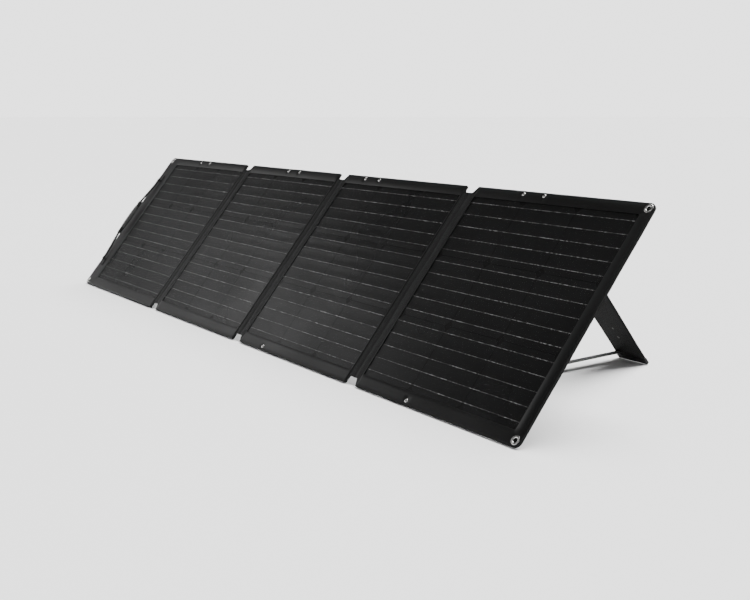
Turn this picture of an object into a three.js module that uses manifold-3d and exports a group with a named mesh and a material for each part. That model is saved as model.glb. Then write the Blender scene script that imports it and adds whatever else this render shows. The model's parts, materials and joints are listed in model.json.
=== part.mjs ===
// Four-section folding solar panel, open and leaning back on two kickstands.
// Units are millimetres. The row frame has +X along the panel's length (seen from the front, to the
// right), +Y from the front to the back and +Z up; the panel's lower edge and both feet are at Z = 0.
// Each section is built flat in its own (u, v, w) frame: u along the length, v up the slope from the
// lower edge, w out of the front face, with w = 0 on the back cover. Layers that touch keep GAP clear.
import * as THREE from "three";
import Module from "manifold-3d";

const wasm = await Module();
wasm.setup();

// ---------------------------------------------------------------- driving dimensions
const CELL_PITCH = 160;        // 158 mm pseudo-square cell and the gap to the next
const CELL_GAP = 2;
const CELL_CORNER = 11;        // leg of the cell's cut corner
const CELLS = 3;               // cells each way in a section
const BUSBARS = 5;             // ribbons on each cell
const SECTIONS = 4;
const MARGIN_HANDLE = 66;      // border at the handle end
const MARGIN_FREE = 26;        // border at the other end
const MARGIN_TOP = 27;
const MARGIN_BOTTOM = 31;
const FIELD_SPACING = 50;      // cell field to cell field across a fold
const STRIP_WIDTH = 40;        // flexible fabric strip across a fold
const NOTCH_FLOOR = 22;
const NOTCH_DEPTH = 18;
const CORNER_RADIUS = 14;
const TILT = 50.4;             // front face above the ground, degrees
const GAP = 0.3;               // air between pieces that touch
const COVER = 0.8;             // cover fabric
const BOARD = 2.0;             // stiffener board
const CELL_THICK = 0.4;
const FILM = 0.6;              // clear front sheet
const RIM = 1.6;               // fabric round the edge
const EYELET_INSET = 13;       // corner eyelet to both edges
const EYELET_HOLE = 5;         // radius
const EYELET_FLANGE = 9.5;     // radius
const EYELET_WALL = 1.1;       // its barrel, through the layers
const EYELET_METAL = 0.8;      // its washer's thickness
const CORNER_CUT = 40;         // leg of the back cover's cut corner
const STAND_SHORT = 1;         // stowed foot above the lower edge
const STAND_TOP = 100;         // stand width at its fold
const STAND_FOOT = 88;         // and at its foot
const STAND_THICK = 5.6;
const STAND_BOARD = 3;
const FOOT_CAP = 16;           // rubber cap over the stand's end
const FOOT_WALL = 1.2;         // proud of the sleeve
const STAND_DROP = 16;         // stand's fold below the top edge
const STAND_CLEAR = 2.4;       // stowed stand to the back cover
const TAB = 1.4;               // doubled cover under a stand's fold
const TAB_LENGTH = 40;
const TOP_AT = [200, 246, 111, 180];         // each section's pair of top rivets, from the field's start
const LOW_AT = [null, null, 107, 171];       // and its lower rivet
const HAS_STAND = [true, false, false, true];   // a stand hangs under that pair of rivets
const RIVET_PAIR = 62;
const RIVET_SHANK = 2;         // radius
const RIVET_HEAD = 4.2;        // radius
const RIVET_INSET = 8.5;
const RIVET_LOW_INSET = 10;
const TETHER_WIDTH = 20;
const TETHER_THICK = 1.4;
const HANDLE_X = 22;
const HANDLE_REACH = 163;      // middle of the handle to each pivot lug's inner face
const HANDLE_RISE = 7.5;       // grip above its pivots
const HANDLE_PIVOT = 6;        // pivots above the border
const PIN = 1.6;               // pivot pin's radius
const LUG = 8;                 // lug's width along the pivot
const STRAP_WIDE = 9;          // strap's section
const STRAP_THICK = 6;
const GRIP_LENGTH = 90;
const CORE_LENGTH = 134;
const BOX = { at: 369, v: 330, width: 84, height: 62, depth: 14, wall: 2 };   // at: from the field's start
const CABLE = 3;               // radius of the gland's bore
const GLAND = 17;              // gland's reach from the box
const POUCH = { at: 369, v: 140, width: 180, height: 140, depth: 20, edge: 6 };
const ZIP_WIDTH = 12;
const ZIP_DROP = 26;           // zip below the pouch's upper edge
const ZIP_SHORT = 16;          // zip short of the pouch's sides

// ---------------------------------------------------------------- derived sizes
const RAD = Math.PI / 180;
const FIELD = CELLS * CELL_PITCH;
const HEIGHT = MARGIN_BOTTOM + FIELD + MARGIN_TOP;
const LENGTH = MARGIN_HANDLE + SECTIONS * FIELD + (SECTIONS - 1) * FIELD_SPACING + MARGIN_FREE;
const fieldStart = (k) => MARGIN_HANDLE + k * (FIELD + FIELD_SPACING);
const foldX = (k) => fieldStart(k) + FIELD + FIELD_SPACING / 2;      // fold after section k
const scaled = (k, at) => fieldStart(k) + at * FIELD / 480;           // keeps its share of the field
const topX = TOP_AT.map((at, k) => scaled(k, at));
const STAND_LENGTH = HEIGHT - STAND_DROP - STAND_SHORT;
const BOARD_W = COVER + GAP;
const CELL_W = BOARD_W + BOARD + GAP;
const FILM_W = CELL_W + 2 * CELL_THICK - 0.1 + GAP;
const BORDER_W = FILM_W + FILM + GAP;
const T = BORDER_W + COVER;                                            // section thickness

// ---------------------------------------------------------------- materials
const mat = (color, roughness, metalness = 0) =>
  new THREE.MeshStandardMaterial({ color, roughness, metalness });
const FABRIC = mat(0x17181a, 0.85);
const STRIP = mat(0x1c1d20, 0.8);
const WEBBING = mat(0x101113, 0.9);
const BOARD_MAT = mat(0x3a3c3f, 0.6);
const CELL_MAT = mat(0x1b2030, 0.35);
const FILM_MAT = mat(0x30343a, 0.25);
const METAL = mat(0xc8cacc, 0.25, 1);
const RUBBER = mat(0x1a1a1b, 0.75);
const GRIP_MAT = mat(0x4a4c4f, 0.7);
const PLASTIC = mat(0x141517, 0.45);

// ---------------------------------------------------------------- solids
function weld(geometry) {
  const at = geometry.getAttribute("position");
  const index = geometry.getIndex();
  const seen = new Map();
  const points = [];
  const triangles = [];
  const count = index ? index.count : at.count;
  for (let i = 0; i < count; i += 3) {
    const tri = [0, 1, 2].map((j) => {
      const n = index ? index.getX(i + j) : i + j;
      const p = [at.getX(n), at.getY(n), at.getZ(n)];
      const key = p.map((c) => Math.round(c * 2e4)).join();
      if (!seen.has(key)) {
        seen.set(key, points.length / 3);
        points.push(...p);
      }
      return seen.get(key);
    });
    if (tri[0] !== tri[1] && tri[1] !== tri[2] && tri[2] !== tri[0]) triangles.push(...tri);
  }
  const solid = (triVerts) => new wasm.Manifold(new wasm.Mesh({
    numProp: 3,
    vertProperties: Float32Array.from(points),
    triVerts: Uint32Array.from(triVerts),
  }));
  const made = solid(triangles);
  return made.volume() > 0 ? made : solid(triangles.reverse());
}

function toGeometry(solid) {
  const mesh = solid.getMesh();
  const geometry = new THREE.BufferGeometry();
  geometry.setAttribute("position", new THREE.BufferAttribute(new Float32Array(mesh.vertProperties), 3));
  geometry.setIndex(new THREE.BufferAttribute(new Uint32Array(mesh.triVerts), 1));
  return geometry;
}

const union = (list) => list.reduce((a, b) => a.add(b));
const cut = (from, list) => list.reduce((a, b) => a.subtract(b), from);

function shapeOf(points, holes = []) {
  const shape = new THREE.Shape(points.map(([x, y]) => new THREE.Vector2(x, y)));
  for (const hole of holes) shape.holes.push(hole);
  return shape;
}

function circleHole(x, y, r) {
  return new THREE.Path().absarc(x, y, r, 0, 2 * Math.PI, false);
}

// rectangle with its own radius at the left and at the right end
function roundedRect(x0, x1, y0, y1, left, right = left) {
  const path = new THREE.Shape();
  path.moveTo(x0 + left, y0);
  path.lineTo(x1 - right, y0);
  path.absarc(x1 - right, y0 + right, right, -Math.PI / 2, 0, false);
  path.lineTo(x1, y1 - right);
  path.absarc(x1 - right, y1 - right, right, 0, Math.PI / 2, false);
  path.lineTo(x0 + left, y1);
  path.absarc(x0 + left, y1 - left, left, Math.PI / 2, Math.PI, false);
  path.lineTo(x0, y0 + left);
  path.absarc(x0 + left, y0 + left, left, Math.PI, 1.5 * Math.PI, false);
  return path;
}

// a flat shape drawn in (u, v), from w0 to w1
function slab(shape, w0, w1, curveSegments = 5) {
  const geometry = new THREE.ExtrudeGeometry(shape, { depth: w1 - w0, bevelEnabled: false, curveSegments });
  return weld(geometry.translate(0, 0, w0));
}

// a profile drawn in (v, w), from u0 to u1
function bar(points, u0, u1, curveSegments = 6) {
  const shape = Array.isArray(points) ? shapeOf(points) : points;
  const geometry = new THREE.ExtrudeGeometry(shape, { depth: u1 - u0, bevelEnabled: false, curveSegments });
  const turn = new THREE.Matrix4().makeBasis(
    new THREE.Vector3(0, 1, 0), new THREE.Vector3(0, 0, 1), new THREE.Vector3(1, 0, 0));
  return weld(geometry.applyMatrix4(turn).translate(u0, 0, 0));
}

// a profile drawn in (u, w), from v0 to v1
function rail(shape, v0, v1, curveSegments = 6) {
  const geometry = new THREE.ExtrudeGeometry(shape, { depth: v1 - v0, bevelEnabled: false, curveSegments });
  const turn = new THREE.Matrix4().makeBasis(
    new THREE.Vector3(1, 0, 0), new THREE.Vector3(0, 0, 1), new THREE.Vector3(0, -1, 0));
  return weld(geometry.applyMatrix4(turn).translate(0, v1, 0));
}

const block = (x0, x1, y0, y1, z0, z1) => slab(shapeOf([[x0, y0], [x1, y0], [x1, y1], [x0, y1]]), z0, z1);

// turned piece: profile of [radius, w], axis along w at (x, y)
function turned(profile, x, y, segments) {
  const points = profile.map(([r, h]) => new THREE.Vector2(r, h));
  const geometry = new THREE.LatheGeometry(points, segments);
  return weld(geometry.rotateX(Math.PI / 2).translate(x, y, 0));
}

const plug = (r, w0, w1, x, y, segments) => turned([[0, w0], [r, w0], [r, w1], [0, w1]], x, y, segments);

// ---------------------------------------------------------------- placing
const tilt = new THREE.Matrix4().makeRotationX(TILT * RAD);
const root = new THREE.Group();
root.name = "folding_solar_panel";
const placed = [];

function addNode(name, solid, material, matrix = tilt) {
  const geometry = toGeometry(solid).applyMatrix4(matrix);
  geometry.computeVertexNormals();
  const mesh = new THREE.Mesh(geometry, material);
  mesh.name = name;
  root.add(mesh);
  placed.push(geometry);
}

// ---------------------------------------------------------------- sections
function section(k) {
  const first = k === 0;
  const last = k === SECTIONS - 1;
  const n = k + 1;
  const x0 = first ? 0 : foldX(k - 1) + STRIP_WIDTH / 2;
  const x1 = last ? LENGTH : foldX(k) - STRIP_WIDTH / 2;
  const f0 = fieldStart(k);
  const f1 = f0 + FIELD;
  const v0 = MARGIN_BOTTOM;
  const v1 = v0 + FIELD;
  const rl = first ? CORNER_RADIUS : 2;
  const rr = last ? CORNER_RADIUS : 2;
  const endX = first ? x0 : x1;
  const inward = first ? 1 : -1;
  const eyelets = first || last
    ? [EYELET_INSET, HEIGHT - EYELET_INSET].map((v) => [endX + inward * EYELET_INSET, v]) : [];
  const rivets = [-0.5, 0.5].map((side) => [topX[k] + side * RIVET_PAIR, HEIGHT - RIVET_INSET]);
  if (LOW_AT[k]) rivets.push([scaled(k, LOW_AT[k]), RIVET_LOW_INSET]);

  const outline = (inset) => roundedRect(x0 + inset, x1 - inset, inset, HEIGHT - inset,
    Math.max(rl - inset, 0.4), Math.max(rr - inset, 0.4));
  const drill = (w0, w1) => [
    ...eyelets.map(([x, y]) => plug(EYELET_HOLE + EYELET_WALL + 0.4, w0, w1, x, y, 24)),
    ...rivets.map(([x, y]) => plug(RIVET_SHANK + GAP, w0, w1, x, y, 12)),
  ];
  // triangle over each outer corner, grown by extra
  const corners = (extra, w0, w1) => (eyelets.length ? [0, 1] : []).map((top) => {
    const y = top ? HEIGHT : 0;
    const s = top ? -1 : 1;
    const c = CORNER_CUT + extra;
    const far = [[endX - inward * 5, y - s * 5], [endX + inward * c, y - s * 5], [endX + inward * c, y],
      [endX, y + s * c], [endX - inward * 5, y + s * c]];
    const turnsLeft = (inward > 0) === (s > 0);
    return slab(shapeOf(turnsLeft ? far : far.reverse()), w0, w1);
  });

  // front border with its rim; at the outer corners it also wraps on to the back
  const frame = outline(0);
  frame.holes.push(roundedRect(f0 - 1, f1 + 1, v0 - 1, v1 + 1, 3));
  const ring = outline(0);
  ring.holes.push(outline(RIM));
  let border = slab(frame, BORDER_W, T).add(slab(ring, BOARD_W, BORDER_W + 0.1));
  for (const corner of corners(-GAP, 0, BOARD_W + 0.1)) {
    const wrap = slab(outline(0), 0, COVER).add(slab(ring, 0, BOARD_W + 0.1));
    border = border.add(wrap.intersect(corner));
  }
  border = cut(border, drill(-1, T + 1));
  addNode(`border_${n}`, border, FABRIC);

  const sheet = roundedRect(f0 - 3, f1 + 3, v0 - 4, v1 + 4, 2);
  addNode(`film_${n}`, slab(sheet, FILM_W, FILM_W + FILM), FILM_MAT);

  addNode(`cells_${n}`, cellString(f0, v0), CELL_MAT);

  const board = cut(slab(outline(RIM + GAP), BOARD_W, BOARD_W + BOARD),
    [...corners(GAP, 0, T), ...drill(-1, T + 1)]);
  addNode(`board_${n}`, board, BOARD_MAT);

  let cover = cut(slab(outline(0), 0, COVER), corners(0, -1, 2));
  if (HAS_STAND[k]) {
    const half = STAND_TOP / 2;
    cover = cover.add(block(topX[k] - half, topX[k] + half, HEIGHT - TAB_LENGTH, HEIGHT - 1, -TAB, 0.4));
  }
  addNode(`back_cover_${n}`, cut(cover, drill(-3, 2)), FABRIC);

  eyelets.forEach(([x, y], i) => {
    const r = EYELET_HOLE;
    const barrel = r + EYELET_WALL;
    const face = T + GAP;
    const back = -GAP - EYELET_METAL;
    addNode(`eyelet_${n}_${i ? "top" : "bottom"}`, turned([
      [r, back], [EYELET_FLANGE, back], [EYELET_FLANGE, -GAP], [barrel, -GAP], [barrel, face],
      [EYELET_FLANGE, face], [EYELET_FLANGE - 0.5, face + 0.7], [barrel + 0.3, face + 0.9], [r, face + 0.4],
      [r, back]], x, y, 24), METAL);
  });
  rivets.forEach(([x, y], i) => {
    const where = i < 2 ? `top_${i + 1}` : "bottom";
    const face = T + GAP;
    const back = -GAP - (HAS_STAND[k] && i < 2 ? TAB : 0);
    addNode(`rivet_${n}_${where}`, turned([
      [0, back - 0.7], [RIVET_HEAD - 0.6, back - 0.7], [RIVET_HEAD - 0.2, back], [RIVET_SHANK, back],
      [RIVET_SHANK, face], [RIVET_HEAD, face], [RIVET_HEAD - 0.6, face + 0.8], [0, face + 1.1]],
    x, y, 12), METAL);
  });
}

// nine cut-corner cells in three rows, joined by the ribbons and by a cross ribbon at each end
function cellString(f0, v0) {
  const size = CELL_PITCH - CELL_GAP;
  const c = CELL_CORNER;
  const outline = [[c, 0], [size - c, 0], [size, c], [size, size - c], [size - c, size], [c, size],
    [0, size - c], [0, c]];
  const pieces = [];
  for (let i = 0; i < CELLS; i++) {
    for (let j = 0; j < CELLS; j++) {
      const x = f0 + i * CELL_PITCH + CELL_GAP / 2;
      const y = v0 + j * CELL_PITCH + CELL_GAP / 2;
      pieces.push(slab(shapeOf(outline.map(([a, b]) => [x + a, y + b])), CELL_W, CELL_W + CELL_THICK));
    }
  }
  const low = CELL_W + CELL_THICK - 0.1;
  const high = CELL_W + 2 * CELL_THICK - 0.1;
  const ribbon = CELL_PITCH / BUSBARS;
  for (let j = 0; j < CELLS * BUSBARS; j++) {
    const y = v0 + (j + 0.5) * ribbon;
    pieces.push(block(f0 - 2, f0 + FIELD + 2, y - 0.7, y + 0.7, low, high));
  }
  for (const x of [f0 - 2.8, f0 + FIELD + 1]) {
    pieces.push(block(x, x + 1.8, v0 + ribbon / 2 - 1.5, v0 + FIELD - ribbon / 2 + 1.5, low, high));
  }
  return union(pieces);
}

for (let k = 0; k < SECTIONS; k++) section(k);

// ---------------------------------------------------------------- fold strips, one half on each section
for (let k = 0; k < SECTIONS - 1; k++) {
  for (const side of [-1, 1]) {
    const at = (d) => foldX(k) + side * d;
    const half = STRIP_WIDTH / 2 - GAP;
    const floor = NOTCH_FLOOR / 2;
    const [low, high] = [NOTCH_DEPTH, HEIGHT - NOTCH_DEPTH];
    const points = [[at(0.25), low], [at(floor), low], [at(half), 0.6], [at(half), HEIGHT - 0.6],
      [at(floor), high], [at(0.25), high]];
    const solid = slab(shapeOf(side > 0 ? points : points.reverse()), T - 1.2, T);
    addNode(`strip_${k + 1}_${k + 2}_${side < 0 ? "left" : "right"}`, solid, STRIP);
  }
}

// ---------------------------------------------------------------- kickstands
// A stand is drawn as it stows, with y up the slope from its fold and z towards the back cover.
const standHalf = STAND_THICK / 2;
const footHalf = standHalf + FOOT_WALL;
const foldV = HEIGHT - STAND_DROP;
const foldW = -STAND_CLEAR - standHalf;
const foldHeight = foldV * Math.sin(TILT * RAD) + foldW * Math.cos(TILT * RAD);
// the foot's lower corner meets the ground
const legReach = Math.hypot(STAND_LENGTH, footHalf);
const legAngle = Math.asin(foldHeight / legReach) - Math.atan2(footHalf, STAND_LENGTH);
const standOpen = Math.PI - TILT * RAD - legAngle;

function standOutline(inset, y0, y1) {
  const half = (y) => STAND_TOP / 2 + (STAND_FOOT - STAND_TOP) / 2 * (-y / STAND_LENGTH) - inset;
  return shapeOf([[-half(y0), y0], [half(y0), y0], [half(y1), y1], [-half(y1), y1]]);
}

function stand(k) {
  const x = topX[k];
  const n = k + 1;
  const place = tilt.clone()
    .multiply(new THREE.Matrix4().makeTranslation(x, foldV, foldW))
    .multiply(new THREE.Matrix4().makeRotationX(standOpen));
  const sleeveEnd = -(STAND_LENGTH - FOOT_CAP);
  const inner = STAND_BOARD / 2 + GAP;

  // sleeve: round at its fold, open at the foot
  const profile = new THREE.Shape();
  profile.moveTo(sleeveEnd, -standHalf);
  profile.lineTo(0, -standHalf);
  profile.absarc(0, 0, standHalf, -Math.PI / 2, Math.PI / 2, false);
  profile.lineTo(sleeveEnd, standHalf);
  const sleeve = bar(profile, -STAND_TOP, STAND_TOP, 8)
    .intersect(slab(standOutline(0, sleeveEnd - 1, 20), -9, 9))
    .subtract(slab(standOutline(2.2, sleeveEnd - 2, -6), -inner, inner));
  addNode(`stand_${n}_sleeve`, sleeve, FABRIC, place);

  const boardEnd = -(STAND_LENGTH - 6);
  addNode(`stand_${n}_board`, slab(standOutline(2.5, boardEnd, -6 - GAP), -STAND_BOARD / 2, STAND_BOARD / 2),
    BOARD_MAT, place);

  const foot = slab(standOutline(0, -STAND_LENGTH, sleeveEnd - GAP), -footHalf, footHalf)
    .subtract(slab(standOutline(2.2, boardEnd - GAP, 0), -inner, inner));
  addNode(`stand_${n}_foot`, foot, RUBBER, place);

  // tether from the back cover's lower edge to the stand's inner face, cut to lie on both
  const side = x - STAND_FOOT / 2 + 3;
  const toRow = (v, w) => new THREE.Vector3(0, v, w).applyMatrix4(tilt);
  const fromStand = (y, z) => new THREE.Vector3(0, y, z).applyMatrix4(place);
  const low = toRow(16, -GAP);
  const high = fromStand(sleeveEnd + 8, standHalf + GAP);
  const along = high.clone().sub(low).normalize();
  const across = new THREE.Vector3(0, -along.z, along.y).multiplyScalar(TETHER_THICK / 2);
  const slope = toRow(1, 0);
  const leg = fromStand(1, 0).sub(fromStand(0, 0));
  const meet = (start, line) => {
    // points either side of the tether's centre line that lie on the given surface
    const k2 = (line.y * along.z - line.z * along.y);
    const step = (across.y * along.z - across.z * along.y) / k2;
    return [start.clone().addScaledVector(line, step), start.clone().addScaledVector(line, -step)];
  };
  const [a, b] = meet(low, slope);
  const [c, d] = meet(high, leg);
  const tether = bar([[a.y, a.z], [b.y, b.z], [d.y, d.z], [c.y, c.z]], side, side + TETHER_WIDTH);
  addNode(`stand_${n}_tether`, tether, WEBBING, new THREE.Matrix4());
}

HAS_STAND.forEach((has, k) => { if (has) stand(k); });

// ---------------------------------------------------------------- carrying handle
{
  const x = HANDLE_X;
  const mid = HEIGHT / 2;
  const axisW = T + HANDLE_PIVOT;
  const gripW = axisW + HANDLE_RISE;
  for (const side of [-1, 1]) {
    const v = (d) => mid + side * d;
    const span = (d0, d1) => [Math.min(v(d0), v(d1)), Math.max(v(d0), v(d1))];
    const [b0, b1] = span(HANDLE_REACH, HANDLE_REACH + 29);
    const base = slab(roundedRect(x - 12, x + 12, b0, b1, 3), T + GAP, T + GAP + 1.4);
    const lugShape = new THREE.Shape();
    lugShape.moveTo(x - 5, T + GAP + 1);
    lugShape.lineTo(x + 5, T + GAP + 1);
    lugShape.lineTo(x + 4, axisW);
    lugShape.absarc(x, axisW, 4, 0, Math.PI, false);
    const lug = rail(lugShape, ...span(HANDLE_REACH, HANDLE_REACH + LUG), 8);
    const pinShape = new THREE.Shape().absarc(x, axisW, PIN, 0, 2 * Math.PI, false);
    const pin = rail(pinShape, ...span(HANDLE_REACH - 7, HANDLE_REACH + 1), 8);
    addNode(`handle_mount_${side < 0 ? "lower" : "upper"}`, union([base, lug, pin]), PLASTIC);
  }
  const half = STRAP_THICK / 2;
  const wide = STRAP_WIDE / 2;
  const end = HANDLE_REACH - 0.4;
  const bend = CORE_LENGTH / 2 + 2;
  const path = [[-end, axisW], [-end + 12, axisW], [-bend, gripW], [bend, gripW], [end - 12, axisW],
    [end, axisW]];
  const strapShape = [...path.map(([d, w]) => [mid + d, w - half]),
    ...path.slice().reverse().map(([d, w]) => [mid + d, w + half])];
  const boreShape = () => new THREE.Shape().absarc(x, axisW, PIN + GAP, 0, 2 * Math.PI, false);
  const strap = cut(bar(strapShape, x - wide, x + wide),
    [-1, 1].map((side) => {
      const tip = mid + side * (end + 1);
      const inside = mid + side * (end - 7.6);
      return rail(boreShape(), Math.min(tip, inside), Math.max(tip, inside), 8);
    }));
  addNode("handle_strap", strap, WEBBING);
  const sleeveOf = (halfX, halfW, r, inX, inW, length) => {
    const outside = roundedRect(x - halfX, x + halfX, gripW - halfW, gripW + halfW, r);
    const hollow = roundedRect(x - inX, x + inX, gripW - inW, gripW + inW, 0.5);
    const [v0, v1] = [mid - length / 2, mid + length / 2];
    return rail(outside, v0, v1, 4).subtract(rail(hollow, v0 - 1, v1 + 1, 1));
  };
  const core = { x: wide + 3.5, w: half + 1.9 };
  addNode("handle_core", sleeveOf(core.x, core.w, 2.5, wide + GAP, half + GAP, CORE_LENGTH), RUBBER);
  addNode("handle_grip",
    sleeveOf(core.x + 2, core.w + 1.7, 4.5, core.x + GAP, core.w + GAP, GRIP_LENGTH), GRIP_MAT);
}

// ---------------------------------------------------------------- junction box on the first section's back
{
  const { at, v, width, height, depth, wall } = BOX;
  const x = scaled(0, at);
  const shrunk = (d, r) =>
    roundedRect(x - width / 2 + d, x + width / 2 - d, v - height / 2 + d, v + height / 2 - d, r);
  const outer = shrunk(0, 4);
  const inner = (d) => shrunk(d, 2.5);
  const axis = -GAP - depth / 2;
  const lower = v - height / 2;
  // profile across the gland, turned about an axis along v
  const spun = (profile, segments) => {
    const geometry = new THREE.LatheGeometry(profile.map(([r, h]) => new THREE.Vector2(r, h)), segments);
    return weld(geometry.translate(x, lower, axis));
  };
  const stem = CABLE + 2;
  const base = slab(outer, -GAP - depth, -GAP, 4)
    .subtract(slab(inner(wall), -GAP - depth - 1, -GAP - wall, 4))
    .subtract(spun([[0, -wall], [stem + GAP, -wall], [stem + GAP, 2 * wall], [0, 2 * wall]], 24));
  addNode("junction_box_base", base, PLASTIC);
  const lip = inner(wall + GAP);
  lip.holes.push(inner(2 * wall));
  const lidTop = -2 * GAP - depth;
  const lid = slab(outer, lidTop - 2.4, lidTop, 4).add(slab(lip, lidTop - 0.1, lidTop + 2, 4));
  addNode("junction_box_lid", lid, PLASTIC);
  const inside = wall + 3.5;
  const nut = stem + 1.4;
  addNode("cable_gland", spun([[CABLE, -GLAND], [stem - 0.4, -GLAND], [nut, -GLAND + 4], [nut, -3.5],
    [nut + 0.2, -3.2], [nut + 0.2, -GAP], [stem, -GAP], [stem, inside], [CABLE, inside],
    [CABLE, -GLAND]], 24), PLASTIC);
}

// ---------------------------------------------------------------- zipped pouch on the first section's back
{
  const { at, v, width, height, depth, edge } = POUCH;
  const x = scaled(0, at);
  const [halfX, halfV] = [width / 2 - edge, height / 2 - edge];
  const body = new THREE.ExtrudeGeometry(roundedRect(x - halfX, x + halfX, v - halfV, v + halfV, 12), {
    depth: depth - 2 * edge, bevelEnabled: true, bevelThickness: edge, bevelSize: edge, bevelSegments: 3,
    curveSegments: 4 });
  const pouch = weld(body.translate(0, 0, -GAP - depth + edge));
  addNode("pouch", pouch, FABRIC);
  const face = -GAP - depth;
  const zipV = v + height / 2 - ZIP_DROP;
  const run = width / 2 - ZIP_SHORT;
  const half = ZIP_WIDTH / 2;
  const tape = 0.7;
  const under = face - GAP - tape;
  addNode("zip_tape", block(x - run, x + run, zipV - half, zipV + half, under, face - GAP), WEBBING);
  const top = under - GAP;
  const sx = x - run + 8;
  const slider = union([
    slab(roundedRect(sx - 5, sx + 5, zipV - 4.5, zipV + 4.5, 2), top - 2.6, top, 3),
    block(sx - 1.5, sx + 1.5, zipV - 3, zipV + 2, top - 4.4, top - 2.5),
    slab(roundedRect(sx - 3.5, sx + 3.5, zipV - 30, zipV + 1, 3), top - 5.4, top - 4.2, 3)]);
  addNode("zip_slider", slider, METAL);
}

// ---------------------------------------------------------------- origin: middle of the base
const bounds = new THREE.Box3().setFromObject(root);
for (const geometry of placed) {
  geometry.translate(-(bounds.min.x + bounds.max.x) / 2, -(bounds.min.y + bounds.max.y) / 2, -bounds.min.z);
}

export default root;
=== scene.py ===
"""Looks of the four-section folding solar panel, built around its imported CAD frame. Units are metres.

Sizes are worked out in each section's own (u, v, w) frame: u along the length from the handle end,
v up the slope from the lower edge, w out of the front face with w = 0 on the back cover.
"""
import json
from math import acos, asin, atan2, ceil, copysign, cos, dist, pi, radians, sin, sqrt, tau

import bpy
import numpy as np
from mathutils import Matrix, Vector
from mathutils.geometry import delaunay_2d_cdt
from numpy.linalg import norm


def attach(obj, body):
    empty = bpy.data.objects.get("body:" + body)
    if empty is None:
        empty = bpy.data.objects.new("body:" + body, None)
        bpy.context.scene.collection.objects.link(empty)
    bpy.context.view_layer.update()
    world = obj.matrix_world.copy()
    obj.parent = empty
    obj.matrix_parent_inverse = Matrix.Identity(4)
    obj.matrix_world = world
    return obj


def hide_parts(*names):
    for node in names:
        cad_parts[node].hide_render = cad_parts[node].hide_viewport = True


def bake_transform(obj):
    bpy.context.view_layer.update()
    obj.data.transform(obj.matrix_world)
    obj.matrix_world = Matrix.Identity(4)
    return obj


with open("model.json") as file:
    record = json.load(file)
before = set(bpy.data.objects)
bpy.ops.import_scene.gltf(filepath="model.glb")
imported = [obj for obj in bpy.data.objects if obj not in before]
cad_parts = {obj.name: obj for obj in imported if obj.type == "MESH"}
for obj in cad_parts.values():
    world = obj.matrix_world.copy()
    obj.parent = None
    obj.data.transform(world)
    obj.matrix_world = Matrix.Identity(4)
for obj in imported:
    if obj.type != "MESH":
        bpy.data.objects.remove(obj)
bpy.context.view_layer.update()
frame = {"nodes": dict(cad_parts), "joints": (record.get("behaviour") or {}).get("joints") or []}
MM = 0.001
QUARTER = pi / 2

# --- section frame, from the CAD
joints = {j["name"]: j for j in frame["joints"]}
slope = Vector(joints["fold_3_4"]["axis"])
TILT = atan2(slope.z, slope.y)
SECTIONS = 4
turn = Matrix.Rotation(TILT, 4, "X")


def cad_points(node):
    """A CAD node's vertices, turned into the slope's axes."""
    points = np.array([v.co for v in frame["nodes"][node].data.vertices])
    return points @ np.array(turn.to_3x3())


LOW = np.array([cad_points("back_cover_1")[:, 0].min(), cad_points("border_1")[:, 1].min(),
                cad_points("border_1")[:, 2].min()])
to_row = turn @ Matrix.Translation(Vector(LOW))  # (u, v, w) to the row frame


def span(node):
    """Lowest and highest (u, v, w) of a CAD node."""
    points = cad_points(node) - LOW
    return points.min(axis=0), points.max(axis=0)


def row(u, v, w):
    return to_row @ Vector((u, v, w))


def link(name, data):
    """A new object in the scene."""
    obj = bpy.data.objects.new(name, data)
    bpy.context.scene.collection.objects.link(obj)
    return obj


# --- camera: first, because the framing counts
LENS, SENSOR = 49.84, 36
CAMERA_AT = (2.3702, -1.5569, 0.5972)
YAW, PITCH = radians(54.81), radians(10.55)


camera = link("camera", bpy.data.cameras.new("camera"))
camera.data.lens, camera.data.sensor_width = LENS, SENSOR
camera.data.clip_start, camera.data.clip_end = 0.05, 60
camera.location = CAMERA_AT
camera.rotation_euler = (pi / 2 - PITCH, 0, YAW)
bpy.context.scene.camera = camera


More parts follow.
